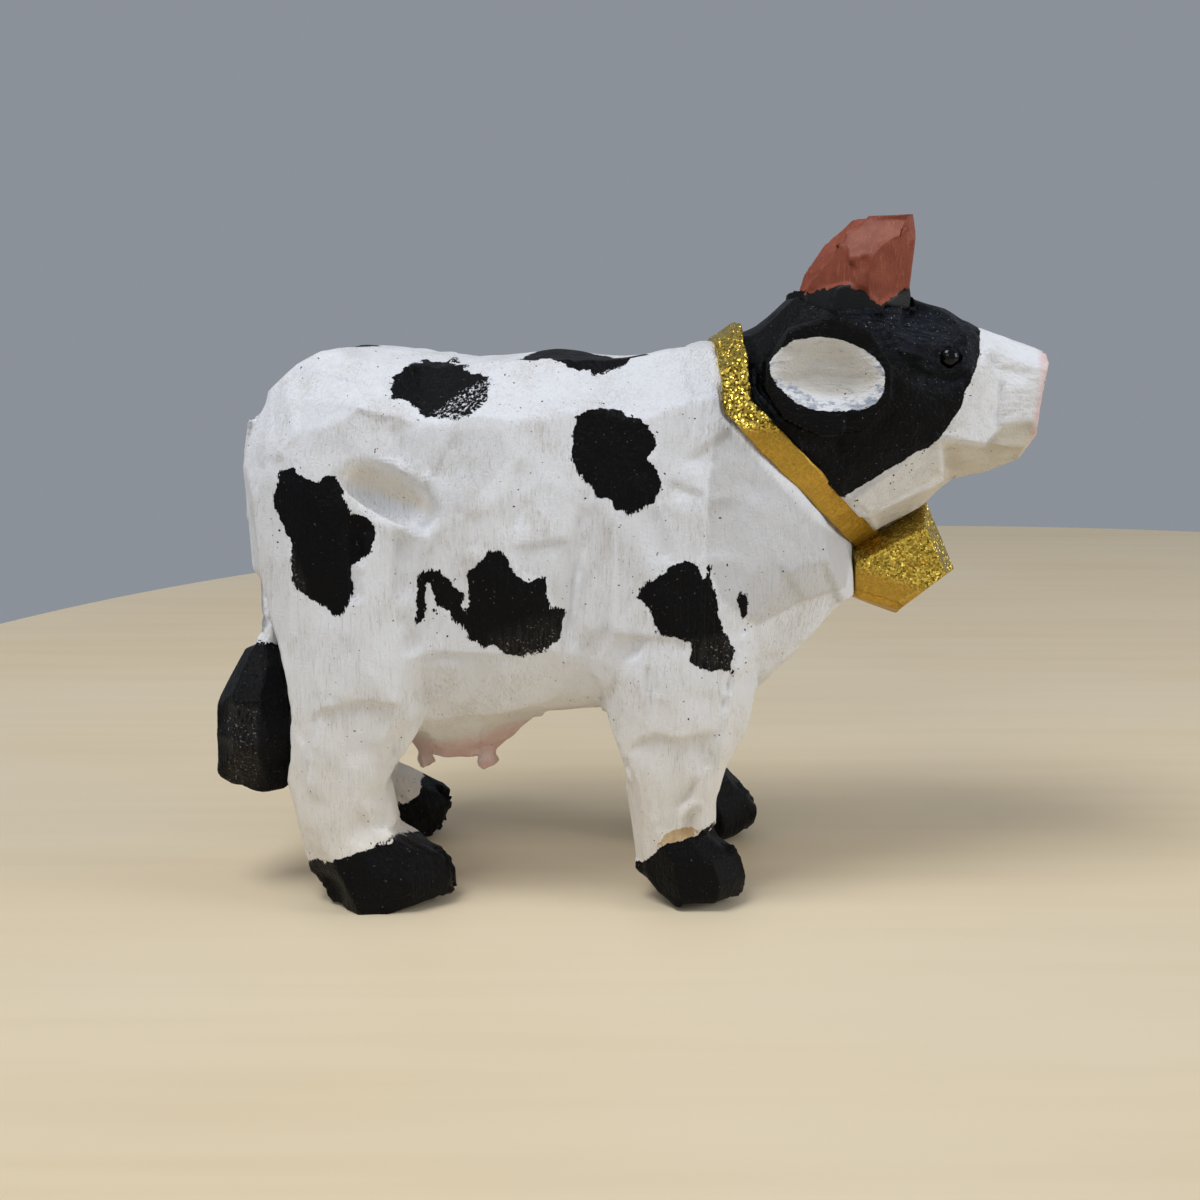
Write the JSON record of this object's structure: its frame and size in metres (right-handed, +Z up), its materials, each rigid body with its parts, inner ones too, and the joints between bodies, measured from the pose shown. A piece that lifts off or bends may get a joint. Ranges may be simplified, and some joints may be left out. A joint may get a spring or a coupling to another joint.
{
  "type": "carved wooden cow figurine",
  "caption": "Standing cow carved from wood with a knife, painted white with black patches, black head, brown horns, gold collar and bell.",
  "frame": {"origin": "on the table under the middle of the figure's bounding box", "axes": "+X towards the nose, +Z up, +Y to the cow's left"},
  "size_m": [0.09, 0.032, 0.0733],
  "materials": {
    "white_paint": "off-white brush paint over carved wood, dull sheen, ragged black patches, black hooves and tassel",
    "black_paint": "black brush paint with a soft gloss over carved wood",
    "brown_paint": "red-brown brush paint, dull sheen",
    "gold_paint": "gold paint with fine glitter",
    "bead": "glossy black bead",
    "bare_wood": "bare dowel wood"
  },
  "bodies": {
    "root": {"body": "white_paint", "head": "black_paint", "neck_dowel": "bare_wood", "collar": "gold_paint", "bell": "gold_paint", "horn_right": "brown_paint", "horn_left": "brown_paint", "ear_right": "black_paint", "ear_left": "black_paint", "eye_right": "bead", "eye_left": "bead", "tail": "white_paint"}
  },
  "joints": []
}
